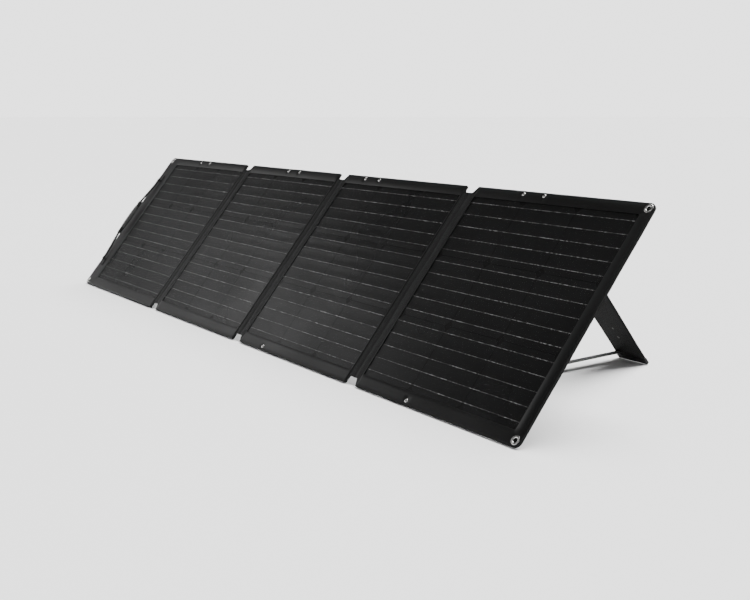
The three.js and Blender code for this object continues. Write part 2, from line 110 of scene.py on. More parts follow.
# --- node materials
class Nodes:
    """Short names for building one material's nodes."""

    def __init__(self, name):
        self.material = bpy.data.materials.new(name)
        self.material.use_nodes = True
        self.tree = self.material.node_tree
        self.shader = self.tree.nodes["Principled BSDF"]

    def add(self, kind, inputs=None, **settings):
        node = self.tree.nodes.new(kind)
        for key, value in settings.items():
            setattr(node, key, value)
        for key, value in (inputs or {}).items():
            self.feed(node.inputs[key], value)
        return node

    def feed(self, socket, value):
        if isinstance(value, bpy.types.NodeSocket):
            self.tree.links.new(value, socket)
        else:
            socket.default_value = value

    def set(self, **inputs):
        for key, value in inputs.items():
            self.feed(self.shader.inputs[key.replace("_", " ").strip()], value)

    def math(self, operation, a, b=0.0):
        return self.add("ShaderNodeMath", {0: a, 1: b}, operation=operation).outputs[0]

    def times(self, a, b):
        return self.math("MULTIPLY", a, b)

    def plus(self, a, b):
        return self.math("ADD", a, b)

    def size(self, a):
        return self.math("ABSOLUTE", a)

    def place(self, rotation=0.0, scale=(1, 1, 1)):
        """Object coordinates turned back about X, so that they line up with the cloth."""
        where = self.add("ShaderNodeTexCoord").outputs["Object"]
        node = self.add("ShaderNodeMapping", {"Vector": where, "Rotation": (-rotation, 0, 0)})
        return self.add("ShaderNodeMapping", {"Vector": node.outputs[0], "Scale": scale}).outputs[0]

    def axes(self, vector):
        return self.add("ShaderNodeSeparateXYZ", {0: vector}).outputs

    def wave(self, value, length):
        """Sine of a coordinate that crosses zero once in each length."""
        return self.math("SINE", self.times(value, pi / length))

    def noise(self, vector, scale, detail=2.0, roughness=0.5):
        node = self.add("ShaderNodeTexNoise",
                        {"Vector": vector, "Scale": scale, "Detail": detail, "Roughness": roughness})
        return node.outputs["Fac"]

    def ramp(self, value, low, high, out_low=0.0, out_high=1.0):
        node = self.add("ShaderNodeMapRange", {
            "Value": value, "From Min": low, "From Max": high, "To Min": out_low, "To Max": out_high})
        return node.outputs[0]

    def spread(self, noise, out_low=0.0, out_high=1.0):
        """Noise, which mostly lies between 0.3 and 0.7, stretched over a whole range."""
        return self.ramp(noise, 0.3, 0.7, out_low, out_high)

    def mix(self, factor, a, b):
        node = self.add("ShaderNodeMix", data_type="RGBA")
        self.feed(node.inputs[0], factor)
        self.feed(node.inputs[6], a)
        self.feed(node.inputs[7], b)
        return node.outputs[2]

    def bump(self, height, distance, strength=1.0, normal=None):
        inputs = {"Height": height, "Distance": distance, "Strength": strength}
        if normal:
            inputs["Normal"] = normal
        return self.add("ShaderNodeBump", inputs).outputs[0]


def grey(level, warm=0.0):
    return (level * (1 + warm), level, level * (1 - warm), 1)


def woven(name, level, thread, rotation=TILT, roughness=0.85, depth=0.25, sheen=0.02, specular=0.12):
    """Plain weave with slubs and faint tone changes. thread and depth are in millimetres."""
    n = Nodes(name)
    where = n.place(rotation)
    across, along = (n.wave(axis, thread * MM) for axis in n.axes(where)[:2])
    over = n.times(across, along)
    crown = n.plus(n.size(across), n.size(along))
    weave = n.plus(n.times(over, 0.5), n.times(crown, 0.5))
    tone = n.noise(where, 14, 3)
    slub = n.noise(n.place(rotation, (1, 24, 1)), 60, 2)
    dark, light = grey(level * 0.85), grey(level * 1.15)
    base = n.mix(n.spread(tone), dark, light)
    # painted shade: the colour is darker in the hollows between threads and lighter on their crowns
    painted_shade = n.ramp(weave, -0.5, 1.5, 0.62, 1.18)
    shaded = n.add("ShaderNodeVectorMath", {0: base, 3: painted_shade}, operation="SCALE").outputs[0]
    n.set(Base_Color=shaded, Sheen_Weight=sheen, Sheen_Roughness=0.5, Specular_IOR_Level=specular)
    n.set(Roughness=n.spread(slub, roughness - 0.06, roughness + 0.06))
    height = n.plus(weave, n.times(slub, 0.6))
    n.set(Normal=n.bump(height, depth * MM))
    return n.material


def laminate(name, level, roughness, pit, depth, specular, alpha=1.0):
    """Satin polymer face pressed with a fine field of dimples. pit and depth are in millimetres."""
    n = Nodes(name)
    where = n.place(TILT)
    cells = n.add("ShaderNodeTexVoronoi", {"Vector": where, "Scale": 1 / (pit * MM), "Randomness": 0.45},
                  feature="SMOOTH_F1").outputs["Distance"]
    swell = n.noise(where, 5, 2)
    ripple = n.noise(n.place(TILT, (0.25, 1, 1)), 26, 2)
    tone = n.noise(where, 9, 3)
    n.set(Base_Color=n.mix(n.spread(tone), grey(level * 0.85), grey(level * 1.15)))
    n.set(Roughness=n.spread(swell, roughness - 0.05, roughness + 0.05))
    n.set(Specular_IOR_Level=specular, Alpha=alpha)
    wavy = n.bump(ripple, 0.12 * MM, 0.5)
    n.set(Normal=n.bump(cells, depth * MM, 0.5, wavy))
    if alpha < 1:
        n.material.surface_render_method = "BLENDED"
    return n.material


def silicon(name):
    """Dark cell with fine printed fingers across its ribbons and slow changes of tone."""
    n = Nodes(name)
    where = n.place(TILT)
    line = n.ramp(n.size(n.wave(n.axes(where)[0], 1.6 * MM)), 0.10, 0.16, 1.0, 0.0)
    tone = n.noise(where, 4, 2)
    base = n.mix(n.spread(tone), (0.0035, 0.0037, 0.0044, 1), (0.006, 0.0063, 0.007, 1))
    n.set(Base_Color=n.mix(n.times(line, 0.25), base, grey(0.04)))
    n.set(Roughness=n.spread(tone, 0.26, 0.36), Specular_IOR_Level=0.45)
    grain = n.noise(where, 900, 2)
    n.set(Normal=n.bump(grain, 0.05 * MM, 0.6))
    return n.material


def ribbon(name):
    """Tinned copper ribbon, with painted glints: its colour is made bright in patches where its solder would
    catch the light.
    """
    n = Nodes(name)
    where = n.place(TILT)
    beads = n.noise(n.place(TILT, (1, 0.2, 0.2)), 170, 1)
    patches = n.noise(n.place(TILT, (1, 0.2, 0.2)), 22, 2)
    # painted glint: light grey colour in patches over the solder beads, standing in for highlights
    painted_glint = n.times(n.ramp(beads, 0.42, 0.62), n.ramp(patches, 0.36, 0.56, 0.25, 1.0))
    n.set(Base_Color=n.mix(painted_glint, grey(0.14), grey(0.9)), Metallic=0.2)
    n.set(Roughness=n.spread(beads, 0.5, 0.3))
    n.set(Normal=n.bump(n.noise(where, 700, 2), 0.1 * MM))
    return n.material


def metal(name, level=0.72, roughness=0.16):
    """Plated metal with a little wear."""
    n = Nodes(name)
    where = n.place()
    wear = n.noise(where, 300, 3)
    worn = grey(level * 0.72, 0.02)
    n.set(Base_Color=n.mix(n.ramp(wear, 0.35, 0.75), grey(level, 0.01), worn), Metallic=1.0)
    n.set(Roughness=n.spread(wear, roughness, roughness + 0.16))
    n.set(Normal=n.bump(n.noise(where, 1500, 2), 0.02 * MM))
    return n.material


def moulded(name, level, roughness, grain, depth, specular):
    """Moulded plastic or rubber. grain is its scale in cycles a metre and depth is in millimetres."""
    n = Nodes(name)
    where = n.place()
    texture = n.noise(where, grain, 3, 0.6)
    tone = n.noise(where, 30, 3)
    n.set(Base_Color=n.mix(n.spread(tone), grey(level * 0.85), grey(level * 1.2)))
    n.set(Roughness=n.spread(tone, roughness - 0.06, roughness + 0.06), Specular_IOR_Level=specular)
    n.set(Normal=n.bump(texture, depth * MM))
    return n.material


def webbing(name, level, rotation=TILT, axis=0):
    """Ribbed webbing, crossed by its weft. axis is the one its ribs are counted along."""
    n = Nodes(name)
    axes = n.axes(n.place(rotation))
    rib = n.size(n.wave(axes[axis], 2.2 * MM))
    slant = n.plus(axes[1 - axis], n.times(rib, 0.5 * MM))
    weft = n.wave(slant, 0.55 * MM)
    height = n.plus(rib, n.times(weft, 0.35))
    # painted shade: the colour is darker in the hollows between ribs and weft and lighter on their tops
    painted_shade = n.ramp(height, -0.2, 1.3)
    n.set(Base_Color=n.mix(painted_shade, grey(level * 0.6), grey(level * 1.35)), Roughness=0.82,
          Sheen_Weight=0.2, Specular_IOR_Level=0.3)
    n.set(Normal=n.bump(height, 0.3 * MM))
    return n.material


def floor_paper():
    n = Nodes("floor")
    tone = n.noise(n.place(), 1.5, 2)
    n.set(Base_Color=n.mix(tone, grey(0.86), grey(0.88)), Roughness=0.9)
    return n.material


# --- mesh building
def new_object(name, vertices, faces, materials, matrix=to_row, indices=None):
    """A smooth mesh in the row frame, with its edges sharp above 38 degrees."""
    mesh = bpy.data.meshes.new(name)
    mesh.from_pydata([tuple(v) for v in vertices], [], [tuple(f) for f in faces])
    mesh.transform(matrix)
    for material in materials:
        mesh.materials.append(material)
    if indices is not None:
        mesh.polygons.foreach_set("material_index", indices)
    mesh.validate()
    mesh.update()
    mesh.shade_smooth()
    mesh.set_sharp_from_angle(angle=radians(38))
    return link(name, mesh)


class Soup:
    """Collects many small closed solids into one mesh."""

    def __init__(self):
        self.vertices, self.faces, self.indices = [], [], []

    def put(self, vertices, faces, index=0):
        start = len(self.vertices)
        self.vertices += [tuple(v) for v in vertices]
        self.faces += [tuple(start + i for i in f) for f in faces]
        self.indices += [index] * len(faces)

    def slab(self, u0, u1, v0, v1, corner, w0, w1, r, spacing=30 * MM, steps=4, corner_steps=6, holes=()):
        """Adds a plate with rounded corners and edges."""
        self.cloth(rounded(u0, u1, v0, v1, corner, corner_steps), list(holes), w0, w1, r, spacing, steps=steps)

    def cloth(self, *args, index=0, **settings):
        self.put(*cloth(*args, **settings), index)

    def make(self, name, *materials, matrix=to_row):
        return new_object(name, self.vertices, self.faces, materials, matrix, self.indices)


def angles(count):
    return [tau * i / count for i in range(count)]


def skin(rings, closed=False):
    """Vertices and faces through rings of equal length. closed joins the last ring to the first."""
    count, total = len(rings[0]), len(rings)
    faces = []
    for k in range(total if closed else total - 1):
        a, b = k * count, (k + 1) % total * count
        faces += [(a + i, a + (i + 1) % count, b + (i + 1) % count, b + i) for i in range(count)]
    return [p for ring in rings for p in ring], faces


def loft(rings):
    """A skin through rings, capped at both ends."""
    vertices, faces = skin(rings)
    count = len(rings[0])
    return vertices, faces + [tuple(range(count))[::-1], tuple(range(len(vertices) - count, len(vertices)))]


def lathe(profile, u, v, segments=24):
    """Turns a closed profile of (radius, height) about the axis along w through (u, v)."""
    rings = []
    for a in angles(segments):
        rings.append([(u + r * cos(a), v + r * sin(a), h) for r, h in profile])
    vertices, faces = skin(rings, closed=True)
    on_axis = [r < 1e-9 for r, _ in profile] * segments
    return vertices, [(a, d, c, b) for a, b, c, d in faces if not (on_axis[a] and on_axis[b])]


def dome(radius, rim, rise, foot, steps=6):
    """Profile of a screw or rivet head that rises from its rim, over a flat foot. rise < 0 faces the back."""
    top = [(radius * cos(t), rim + rise * sin(t)) for t in np.linspace(0, QUARTER, steps)]
    profile = [(0, foot), (radius, foot)] + top
    return profile if rise > 0 else profile[::-1]


def rounded(x0, x1, y0, y1, r, steps=6):
    """Counter-clockwise rounded rectangle. r is one radius, or one for each corner from the lower left."""
    radii = r if hasattr(r, "__len__") else (r,) * 4
    corners = ((x0, y0, 1, 1), (x1, y0, -1, 1), (x1, y1, -1, -1), (x0, y1, 1, -1))
    points = []
    for (x, y, sx, sy), q, start in zip(corners, radii, (pi, 1.5 * pi, 0, 0.5 * pi)):
        for a in (start + QUARTER * i / steps for i in range(steps + 1)):
            points.append((x + sx * q + q * cos(a), y + sy * q + q * sin(a)))
    return points


def chamfered(u0, u1, v0, v1, left, right):
    """Counter-clockwise rectangle with its left and right corners cut off."""
    return [(u0 + left, v0), (u1 - right, v0), (u1, v0 + right), (u1, v1 - right), (u1 - right, v1),
            (u0 + left, v1), (u0, v1 - left), (u0, v0 + left)]


def circle(x, y, r, segments=20):
    """Clockwise, as a hole is."""
    return [(x + r * cos(a), y - r * sin(a)) for a in np.linspace(0, tau, segments, False)]


def resample(loop, spacing):
    """Points round a closed loop, no further apart than spacing."""
    points = []
    for i, p in enumerate(loop):
        q = loop[(i + 1) % len(loop)]
        length = dist(p, q)
        if length < 1e-7:
            continue
        count = max(1, ceil(length / spacing - 1e-6))
        points += [(p[0] + (q[0] - p[0]) * t, p[1] + (q[1] - p[1]) * t) for t in np.arange(count) / count]
    return np.array(points)


def inset(loop, distance):
    """Moves each point of a loop to its left by distance."""
    back, ahead = loop - np.roll(loop, 1, axis=0), np.roll(loop, -1, axis=0) - loop
    back /= norm(back, axis=1)[:, None]
    ahead /= norm(ahead, axis=1)[:, None]
    mean = back + ahead
    mean /= norm(mean, axis=1)[:, None]
    stretch = 1 / np.maximum(0.5, (mean * back).sum(axis=1))
    return loop + np.column_stack([-mean[:, 1], mean[:, 0]]) * (distance * stretch)[:, None]


def inside(points, loops):
    """Even-odd test of many points against closed loops."""
    hit = np.zeros(len(points), bool)
    for loop in loops:
        for (x0, y0), (x1, y1) in zip(loop, np.roll(loop, -1, axis=0)):
            crosses = (y0 > points[:, 1]) != (y1 > points[:, 1])
            if y0 == y1:
                continue
            at = x0 + (points[:, 1] - y0) / (y1 - y0) * (x1 - x0)
            hit ^= crosses & (points[:, 0] < at)
    return hit


def cloth(outer, holes, w0, w1, r, spacing, front=None, back=None, steps=2):
    """A closed sheet between w0 and w1, its edges rounded by r in steps and its points spacing apart.

    front and back lift each face by a function of (u, v).
    """
    loops = [resample(outer, spacing)] + [resample(h, spacing) for h in holes]
    inner = [inset(loop, r) for loop in loops]
    low, high = inner[0].min(axis=0), inner[0].max(axis=0)
    grid = np.array([(u, v) for u in np.arange(low[0] + spacing / 2, high[0], spacing)
                     for v in np.arange(low[1] + spacing / 2, high[1], spacing)]).reshape(-1, 2)
    grid = grid[inside(grid, inner)]
    for loop in inner:
        near = np.full(len(grid), 1e9)
        for p in loop:
            near = np.minimum(near, np.hypot(grid[:, 0] - p[0], grid[:, 1] - p[1]))
        grid = grid[near > spacing * 0.45]
    edge_points = np.concatenate(inner)
    edges, start = [], 0
    for loop in inner:
        count = len(loop)
        edges += [(start + i, start + (i + 1) % count) for i in range(count)]
        start += count
    cdt = delaunay_2d_cdt([Vector(p) for p in np.concatenate([edge_points, grid])], edges, [], 0, 1e-9)
    flat = np.array([tuple(p) for p in cdt[0]])
    triangles = np.array(cdt[2])
    triangles = triangles[inside(flat[triangles].mean(axis=1), inner)]
    a, b, c = flat[triangles[:, 0]], flat[triangles[:, 1]], flat[triangles[:, 2]]
    ccw = ((b - a)[:, 0] * (c - a)[:, 1] - (b - a)[:, 1] * (c - a)[:, 0]) > 0
    triangles = np.where(ccw[:, None], triangles, triangles[:, ::-1])

    def lift(points, f):
        return np.zeros(len(points)) if f is None else f(points[:, 0], points[:, 1])

    count = len(flat)
    top = np.column_stack([flat, w1 + lift(flat, front)])
    bottom = np.column_stack([flat, w0 - lift(flat, back)])
    vertices = [top, bottom]
    faces = [tuple(t) for t in triangles] + [tuple(count + i for i in t[::-1]) for t in triangles]
    total, start = 2 * count, 0
    for loop, loop_in in zip(loops, inner):
        n = len(loop)
        top_lift, bottom_lift = lift(loop_in, front), lift(loop_in, back)
        rings = [list(range(start, start + n))]
        middle = [(sin(t), 1 - cos(t)) for t in np.linspace(0, QUARTER, steps + 1)[1:]]
        profile = [(out, w1 - down * r, top_lift) for out, down in middle]
        profile += [(out, w0 + down * r, -bottom_lift) for out, down in middle[::-1]]
        if w1 - w0 < 2 * r + 1e-6:
            profile.pop(len(middle))
        for out, w, shift in profile:
            flat_ring = loop_in + (loop - loop_in) * out
            vertices.append(np.column_stack([flat_ring, w + shift]))
            rings.append(list(range(total, total + n)))
            total += n
        rings.append([count + i for i in rings[0]])
        for near, far in zip(rings[:-1], rings[1:]):
            faces += [(near[i], far[i], far[(i + 1) % n], near[(i + 1) % n]) for i in range(n)]
        start += n
    return np.concatenate(vertices), faces


def stitches(path, w, soup=None, normal=1.0, closed=True):
    """Adds a lock-stitch row along a flat path to a soup, each stitch a low rounded bar."""
    soup = soup or Soup()
    points = [np.array(p, float) for p in path] + ([np.array(path[0], float)] if closed else [])
    carry = 0.0
    for p, q in zip(points[:-1], points[1:]):
        run = float(norm(q - p))
        if run < 1e-9:
            continue
        d = (q - p) / run
        side = np.array([-d[1], d[0]])
        at = carry
        while at + STITCH <= run:
            rings = []
            for t, k in ((0, 0.35), (0.25, 1.0), (0.75, 1.0), (1, 0.35)):
                c = p + d * (at + t * STITCH)
                ring = []
                for angle in angles(6):
                    o = side * cos(angle) * THREAD_THICK * 0.6 * k
                    up = sin(angle) * THREAD_THICK * 0.5 * k - (1 - k) * THREAD_THICK * 0.4
                    ring.append((c[0] + o[0], c[1] + o[1], w + normal * up))
                rings.append(ring)
            soup.put(*loft(rings))
            at += STITCH + STITCH_GAP
        carry = max(0.0, at - run)
    return soup


def waves(seed, count, size, height, stretch=(1.0, 1.0)):
    """A smooth random height field: a sum of sine waves with seeded directions."""
    local = np.random.default_rng(seed)
    terms = []
    for _ in range(count):
        angle = local.uniform(0, tau)
        length = size * local.uniform(0.6, 1.6)
        terms.append((cos(angle) / length * stretch[0], sin(angle) / length * stretch[1],
                      local.uniform(0, tau)))

    def field(u, v):
        total = sum(np.sin(tau * (a * u + b * v) + c) for a, b, c in terms)
        return total * (height / sqrt(count))
    return field


def to_edge(u, v, low, high):
    """How far points are from the nearest side of a rectangle."""
    return np.minimum(np.minimum(u - low[0], high[0] - u), np.minimum(v - low[1], high[1] - v))


def round_end(distance, radius):
    """How far across a round end is, from 0 to 1, at this distance from its tip."""
    return sqrt(max(0.0, 1 - (1 - min(1, distance / radius)) ** 2))


# --- materials in use
FABRIC = woven("border_weave", 0.006, thread=0.55)
EDGE_FACE = laminate("border_face", 0.0035, roughness=0.33, pit=1.1, depth=0.05, specular=0.34)
BACK = woven("back_weave", 0.009, thread=0.7, depth=0.35, sheen=0.04)
FOLD = woven("fold_weave", 0.004, thread=0.45, roughness=0.44, depth=0.10, sheen=0.0, specular=0.2)
FILM = laminate("clear_film", 0.004, roughness=0.30, pit=0.9, depth=0.07, specular=0.5, alpha=0.35)
CELL = silicon("silicon")
RIBBON = ribbon("ribbon")
METAL = metal("bright_nickel")
THREAD = moulded("thread", 0.011, roughness=0.7, grain=2500, depth=0.05, specular=0.15)
RUBBER = moulded("rubber", 0.006, roughness=0.75, grain=700, depth=0.12, specular=0.3)
GRIP = moulded("grip_rubber", 0.040, roughness=0.62, grain=900, depth=0.10, specular=0.35)
PLASTIC = moulded("black_plastic", 0.007, roughness=0.45, grain=1100, depth=0.06, specular=0.3)
BOARD = moulded("board", 0.002, roughness=0.55, grain=500, depth=0.05, specular=0.2)
STRAP = webbing("strap_webbing", 0.006)
TETHER = webbing("tether_webbing", 0.006, rotation=0.0)
TAPE = webbing("zip_tape_weave", 0.012, axis=1)
DARK_METAL = metal("dark_nickel", 0.06, 0.35)

# --- sizes read from the CAD
HEIGHT = span("border_1")[1][1]
THICK = span("border_1")[1][2]  # front of the border
COVER = span("back_cover_2")[1][2]  # inside of the back cover
BOARD_W = span("board_1")[0][2]
STRIP_W = span("strip_1_2_left")[0][2]
CELL_W = span("cells_1")[0][2]
fold_u = [joints[f"fold_{k}_{k + 1}"]["pos_m"][0] - LOW[0] for k in range(1, SECTIONS)]

# --- other sizes
CELLS, BUSBARS = 3, 5  # cells each way in a section, ribbons on a cell
FILM_LAP = (3 * MM, 4 * MM)  # film past the cell field, along u and v
RIM = 1.6 * MM  # bound edge round a section
CORNER, FOLD_CORNER = 14 * MM, 2 * MM  # radii at the panel's ends and at its folds
CORNER_CUT = 40 * MM  # short sides of a corner wrap
EYELET_HOLE, RIVET_HOLE = 6.3 * MM, 2.2 * MM
# an eyelet's section: radius, which level it is from (back, border's front, crown), height above it, in mm
EYELET = ((5.0, 0, 0.35), (5.2, 0, 0.08), (5.7, 0, 0), (9.0, 0, 0), (9.45, 0, 0.15), (9.5, 0, 0.45),
          (9.3, 0, 0.75), (6.1, 0, 0.8), (6.1, 1, 0.1), (9.2, 1, 0.12), (9.5, 1, 0.35), (9.4, 1, 0.7),
          (8.8, 2, -0.12), (7.9, 2, 0), (6.9, 2, -0.05), (6.0, 2, -0.25), (5.3, 2, -0.6), (5.0, 2, -1.1))
STITCH, STITCH_GAP, THREAD_THICK = 3.0 * MM, 1.4 * MM, 0.45 * MM
STAND_TOP, STAND_FOOT = 50 * MM, 44 * MM  # half widths at the fold and at the foot
STAND_RIVETS = (-405 * MM, -436 * MM)  # along the stand from its fold
# a strap's section: shares of its half width and half thickness
STRAP_SECTION = ((-1, -0.55), (-0.97, -1), (0.97, -1), (1, -0.55), (1, 0.55), (0.97, 1), (-0.97, 1), (-1, 0.55))
# a gland's nut: radius and height out of the box's wall, in mm
GLAND = ((3.0, 5.5), (3.0, -16.6), (3.2, -17.0), (4.2, -17.0), (5.0, -16.2), (6.2, -13.0), (6.4, -12.2),
         (6.4, -4.2), (6.0, -3.7), (6.6, -3.2), (6.6, -0.3), (5.0, -0.3), (5.0, 5.5))
panel = "panel_{}".format


def centre(node):
    low, high = span(node)
    return (low + high) / 2


def window(k):
    """The cell field of a section: its left, right, lower and upper edge."""
    low, high = span(f"film_{k}")
    return low[0] + FILM_LAP[0], high[0] - FILM_LAP[0], low[1] + FILM_LAP[1], high[1] - FILM_LAP[1]


def fasteners(k):
    """Names of a section's eyelets and rivets."""
    return [name for name in frame["nodes"] if name.startswith((f"eyelet_{k}_", f"rivet_{k}_"))]


def hole(name):
    """The hole that an eyelet or a rivet goes through."""
    u, v, _ = centre(name)
    return circle(u, v, EYELET_HOLE if name.startswith("eyelet") else RIVET_HOLE)


def holes_of(k):
    return [hole(name) for name in fasteners(k)]


def outline(k, distance=0.0):
    """A section's outline, drawn in by distance."""
    low, high = span(f"border_{k}")
    left = CORNER if k == 1 else FOLD_CORNER
    right = CORNER if k == SECTIONS else FOLD_CORNER
    radii = [max(r - distance, 0.5 * MM) for r in (left, right, right, left)]
    return rounded(low[0] + distance, high[0] - distance, distance, HEIGHT - distance, radii)


def ready(obj, body, slot, *nodes):
    """Puts a piece on the body it rides on and hides the CAD nodes it stands for. slot, its finish, is not
    used.
    """
    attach(obj, body)
    if nodes:
        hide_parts(*nodes)
    return obj


def paint(node, material):
    """The finish of a CAD node that stays visible."""
    data = frame["nodes"][node].data
    data.materials.clear()
    data.materials.append(material)


# --- front of a section
def add_border(k):
    """Front face round the cells, its bound edge and the row of stitches that holds it."""
    u0, u1, v0, v1 = window(k)
    lip = 0.4 * MM
    field = rounded(u0 + lip, u1 - lip, v0 + lip, v1 - lip, 3 * MM)[::-1]
    soft = waves(10 + k, 9, 0.16, 0.10 * MM)
    soup = Soup()
    soup.cloth(outline(k, RIM), [field] + holes_of(k), THICK - 0.8 * MM, THICK - 0.02 * MM,
               r=0.3 * MM, spacing=14 * MM, front=soft)
    soup.cloth(outline(k), [outline(k, RIM + 0.05 * MM)[::-1]], BOARD_W, THICK,
               r=0.75 * MM, spacing=14 * MM, steps=3, index=1)
    ready(soup.make(f"front_border_{k}", EDGE_FACE, FABRIC), panel(k), "border_fabric", f"border_{k}")
    thread = stitches(outline(k, 5 * MM), THICK)
    ready(thread.make(f"front_stitches_{k}", THREAD), panel(k), "border_fabric")


def add_film(k):
    """Clear front sheet, drawn down a little between the ribbons as it was pressed on."""
    low, high = span(f"film_{k}")
    v0, v1 = window(k)[2:]
    pitch = (v1 - v0) / (CELLS * BUSBARS)
    ripple, flat_edge = 0.24 * MM, 9 * MM
    columns, rows = 61, 151
    drift = waves(30 + k, 8, 0.11, 0.055 * MM, (0.35, 1.0))
    wander = waves(40 + k, 8, 0.09, 2.4 * MM, (1.0, 0.3))

    def swell(u, v):
        fade = np.clip(to_edge(u, v, low, high) / flat_edge, 0, 1)
        turns = (v + wander(u, v) - v0 - pitch / 2) / pitch
        return fade * (ripple * np.cos(tau * turns) + drift(u, v))

    u, v = np.meshgrid(np.linspace(low[0], high[0], columns), np.linspace(low[1], high[1], rows))
    top = np.column_stack([u.ravel(), v.ravel(), high[2] + swell(u, v).ravel()])
    base = top.copy()
    base[:, 2] = low[2]
    count, faces = len(top), []
    for a in (j * columns + i for j in range(rows - 1) for i in range(columns - 1)):
        quad = (a, a + 1, a + columns + 1, a + columns)
        faces += [quad, tuple(count + q for q in quad[::-1])]
    rim = [*range(columns), *range(2 * columns - 1, count, columns),
           *range(count - 2, count - columns - 1, -1), *range(count - 2 * columns, 0, -columns)]
    faces += [(a, count + a, count + b, b) for a, b in zip(rim, rim[1:] + rim[:1])]
    film = new_object(f"front_film_{k}", np.concatenate([top, base]), faces, [FILM])
    ready(film, panel(k), "clear_film", f"film_{k}")


def add_cells(k):
    """Nine cut-corner cells, the ribbons that join them and the cross ribbon at each end."""
    u0, u1, v0, v1 = window(k)
    pitch, gap, cut = (u1 - u0) / CELLS, MM, 11 * MM
    size, cell_thick = pitch - 2 * gap, 0.4 * MM
    top = CELL_W + cell_thick
    soup = Soup()
    for i in range(CELLS):
        for j in range(CELLS):
            x, y = u0 + i * pitch + gap, v0 + j * pitch + gap
            shape = chamfered(x, x + size, y, y + size, cut, cut)
            soup.put(*loft([[(*p, w) for p in shape] for w in (CELL_W, top)]))
    local = np.random.default_rng(50 + k)

    def band(a, b, across, half, thick):
        """One ribbon with a crowned back, wandering a little between its solder points."""
        rings = []
        for t in np.linspace(0, 1, 61):
            c = (a[0] + (b[0] - a[0]) * t, a[1] + (b[1] - a[1]) * t)
            wander = local.normal(0, 0.06 * MM)
            ring = []
            for s, h in ((-1, 0), (1, 0), (1, 0.6), (0.5, 1), (-0.5, 1), (-1, 0.6)):
                o = s * half + wander
                ring.append((c[0] + across[0] * o, c[1] + across[1] * o, top + h * thick))
            rings.append(ring)
        soup.put(*loft(rings), index=1)

    step = (v1 - v0) / (CELLS * BUSBARS)
    past, first, last = 2 * MM, v0 + step / 2 - 1.5 * MM, v1 - step / 2 + 1.5 * MM
    for y in (v0 + (j + 0.5) * step for j in range(CELLS * BUSBARS)):
        band((u0 - past, y), (u1 + past, y), (0, 1), 0.8 * MM, 0.28 * MM)
    for x in (u0 - 1.9 * MM, u1 + 1.9 * MM):
        band((x, first), (x, last), (-1, 0), 0.9 * MM, 0.26 * MM)
    ready(soup.make(f"cell_string_{k}", CELL, RIBBON), panel(k), "solar_cells", f"cells_{k}")


# --- back of a section
def add_back(k):
    """Woven back cover with its stitches, and the corner wraps of the two end sections."""
    low, high = span(f"back_cover_{k}")
    u0, u1, c = low[0], high[0], CORNER_CUT
    at_end = k in (1, SECTIONS)
    loop = chamfered(u0, u1, 0, HEIGHT, *(c if k == end else 2 * MM for end in (1, SECTIONS)))
    cover = Soup()
    cover.cloth(loop, holes_of(k), 0, COVER, r=0.35 * MM, spacing=11 * MM,
                back=waves(70 + k, 12, 0.12, 0.28 * MM))
    piece = ready(cover.make(f"back_sheet_{k}", BACK), panel(k), "cover_fabric", f"back_cover_{k}")
    rows = stitches(inset(resample(loop, 30 * MM), 5 * MM), -0.1 * MM, normal=-1)
    if at_end:
        end, inward = (u0, 1) if k == 1 else (u1, -1)
        side, margin = c - 0.4 * MM, 6 * MM
        patch = Soup()
        for name, base, up in (("bottom", 0, 1), ("top", HEIGHT, -1)):
            corner = [(CORNER, 0)]
            corner += [(CORNER - CORNER * sin(t), CORNER - CORNER * cos(t))
                       for t in np.linspace(0, QUARTER, 9)]
            corner += [(0, side), (side, 0)]
            corner = [(end + inward * x, base + up * y) for x, y in corner][::-1 if inward * up > 0 else 1]
            patch.cloth(corner, [hole(f"eyelet_{k}_{name}")], 0, COVER, r=0.35 * MM, spacing=9 * MM)
            seam = ((side - 9 * MM, margin), (margin, side - 9 * MM))
            stitches([(end + inward * x, base + up * y) for x, y in seam], -0.05 * MM, rows,
                     normal=-1, closed=False)
        wraps = ready(patch.make(f"corner_wraps_{k}", FABRIC), panel(k), "border_fabric")
    ready(rows.make(f"back_stitches_{k}", THREAD), panel(k), "cover_fabric")
    paint(f"board_{k}", BOARD)


# --- eyelets and rivets
def add_fasteners(k):
    """Eyelet rings, and rivets with a domed head and a flatter tail."""
    for name in sorted(fasteners(k)):
        u, v, _ = centre(name)
        back, crown = (limit[2] for limit in span(name))
        piece = Soup()
        if name.startswith("eyelet"):
            levels = (back, THICK, crown)
            piece.put(*lathe([(r * MM, levels[i] + h * MM) for r, i, h in EYELET], u, v, 56))
        else:
            shank, rim = 2.0 * MM, THICK + 0.1 * MM
            cap = [(4.2 * MM * cos(a), rim + (crown - rim) * sin(a))
                   for a in np.linspace(0, QUARTER, 9)]
            tail = [(3.9 * MM * cos(a), back + 0.65 * MM - 0.65 * MM * sin(a))
                    for a in np.linspace(QUARTER, 0, 7)]
            piece.put(*lathe(tail + [(shank, back + 0.7 * MM), (shank, THICK)] + cap, u, v, 32))
        kind = "ring" if name.startswith("eyelet") else "head"
        ready(piece.make(f"{name}_{kind}", METAL), panel(k), "plated_metal", name)


